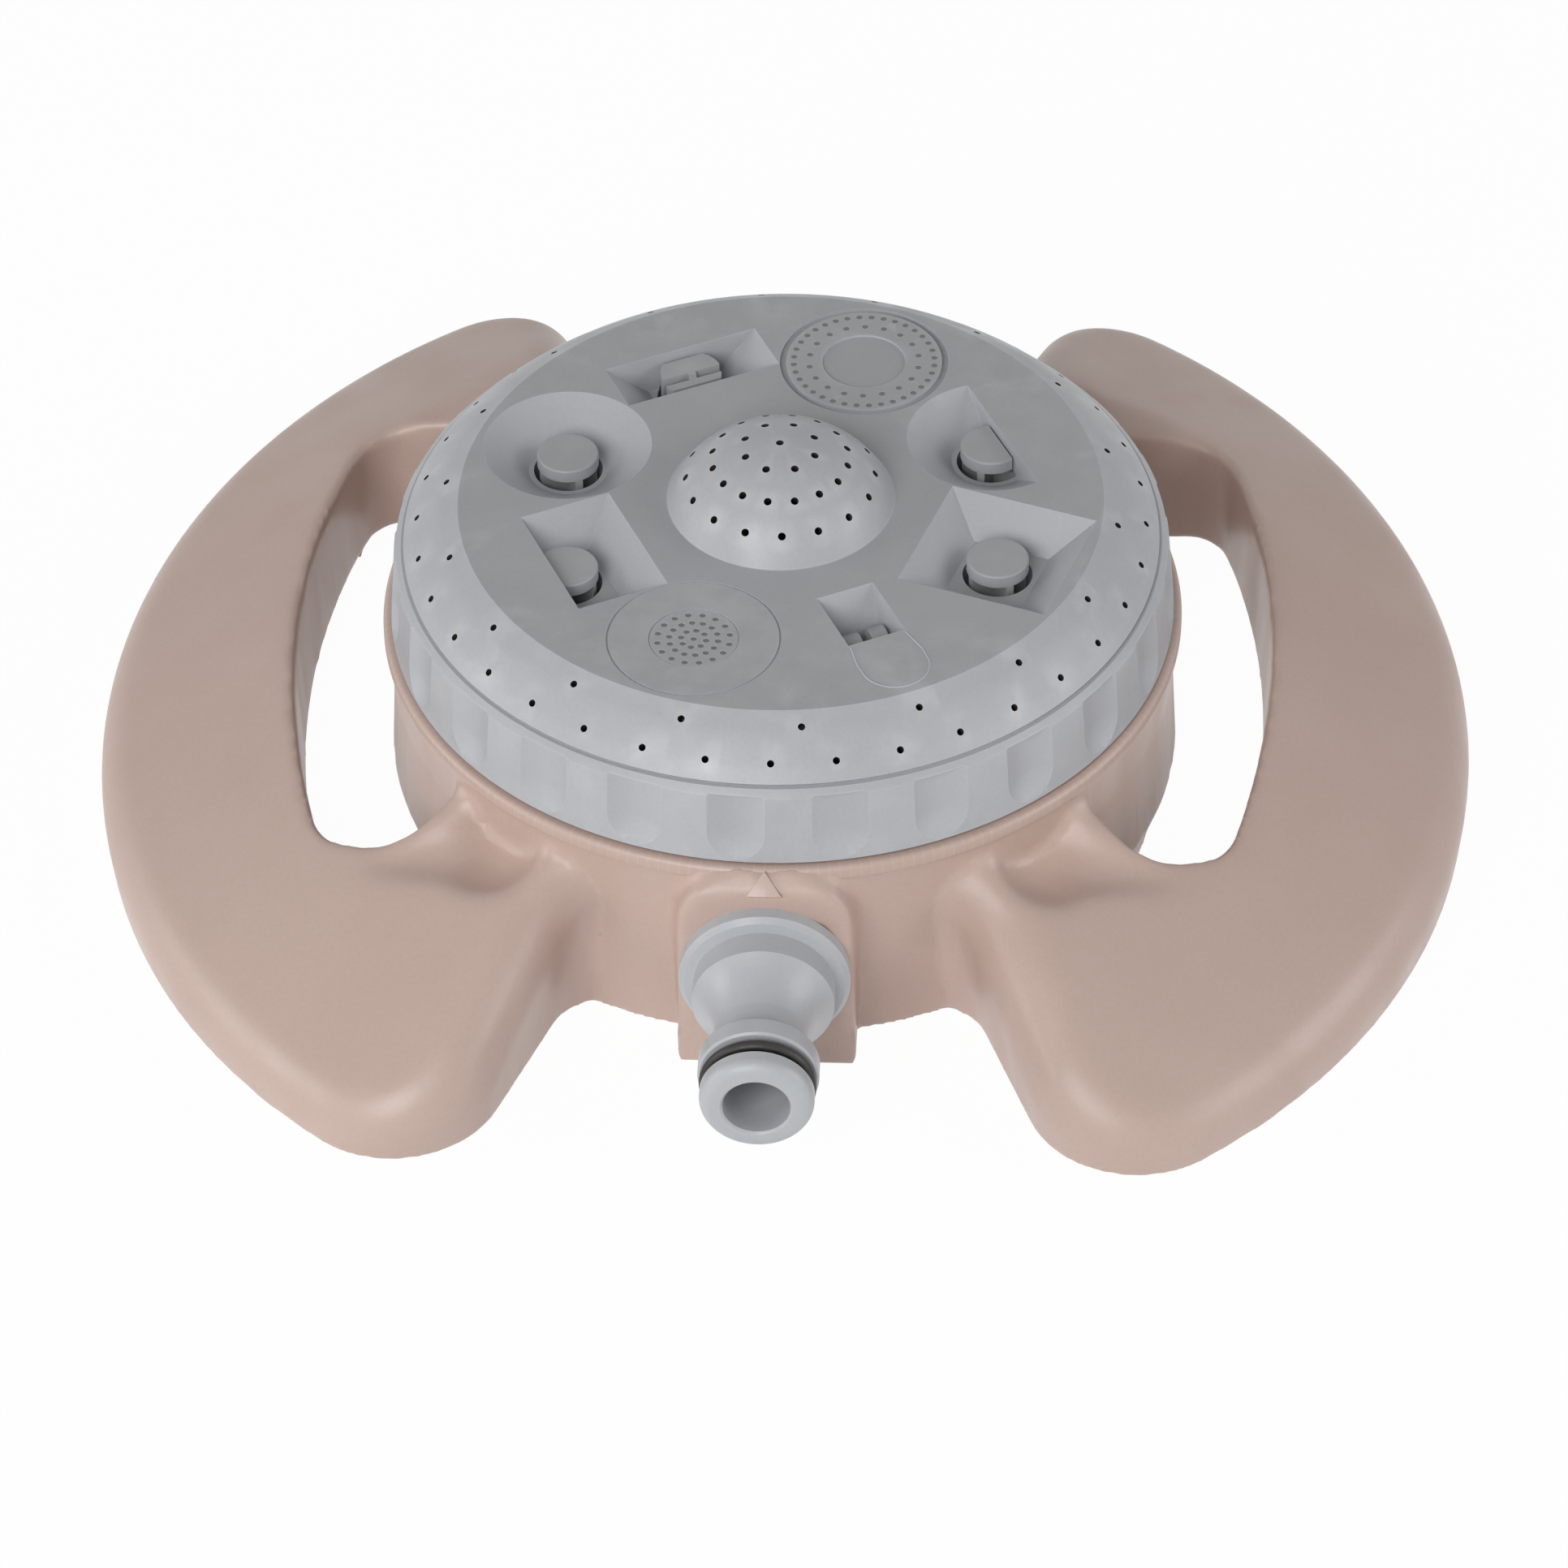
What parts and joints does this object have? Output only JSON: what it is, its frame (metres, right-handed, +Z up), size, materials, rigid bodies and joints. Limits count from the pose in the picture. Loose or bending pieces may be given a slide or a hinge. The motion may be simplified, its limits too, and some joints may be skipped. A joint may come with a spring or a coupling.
{
  "type": "static sprinkler",
  "caption": "Low static lawn sprinkler with a turning spray-pattern dial, a hose spigot in front and two wing-shaped carrying handles.",
  "frame": {"origin": "on the axis of the dial, at the height of the ground", "axes": "+Z up along the dial axis, -Y along the hose spigot, +X towards the right wing"},
  "size_m": [0.1972, 0.171, 0.0631],
  "materials": {
    "base_plastic": "satin",
    "dial_plastic": "matt on top, satin on the rim",
    "spigot_plastic": "satin",
    "nozzle_plastic": "satin",
    "inner_plastic": "satin",
    "bearing_plastic": "satin",
    "seal_rubber": "matt",
    "screw_steel": "bright",
    "spring_steel": "bright"
  },
  "bodies": {
    "base": {"base_shell": "base_plastic", "inlet_spigot": "spigot_plastic", "spigot_o_ring": "seal_rubber", "inlet_seal": "seal_rubber", "spigot_screws": "screw_steel", "feed_duct": "inner_plastic", "feed_duct_screws": "screw_steel", "pivot_bush": "bearing_plastic", "outlet_spring": "spring_steel", "click_spring": "spring_steel"},
    "dial": {"dial_cover": "dial_plastic", "port_plate": "inner_plastic", "pivot_screw": "screw_steel", "pivot_washer": "screw_steel", "fan_nozzle": "nozzle_plastic", "square_nozzle": "nozzle_plastic", "half_round_nozzle": "nozzle_plastic", "strip_nozzle": "nozzle_plastic", "round_nozzle": "nozzle_plastic", "rectangle_nozzle": "nozzle_plastic"},
    "outlet": {"outlet_sleeve": "bearing_plastic", "sleeve_ring": "seal_rubber", "outlet_seal": "seal_rubber"},
    "click": {"click_plunger": "bearing_plastic"}
  },
  "joints": [
    {"name": "dial_turn", "type": "hinge", "parent": "base", "child": "dial", "pos_m": [0, 0, 0.0346], "axis": [0, 0, 1], "continuous": true},
    {"name": "outlet_press", "type": "slide", "parent": "base", "child": "outlet", "axis": [0, 0, 1], "range_m": [-0.0012, 0], "stiffness_N_per_m": 900, "springref_m": 0.004, "deforming": ["outlet_spring"]},
    {"name": "click_press", "type": "slide", "parent": "base", "child": "click", "axis": [0, 0, 1], "range_m": [-0.0012, 0], "stiffness_N_per_m": 500, "springref_m": 0.003, "deforming": ["click_spring"]}
  ]
}
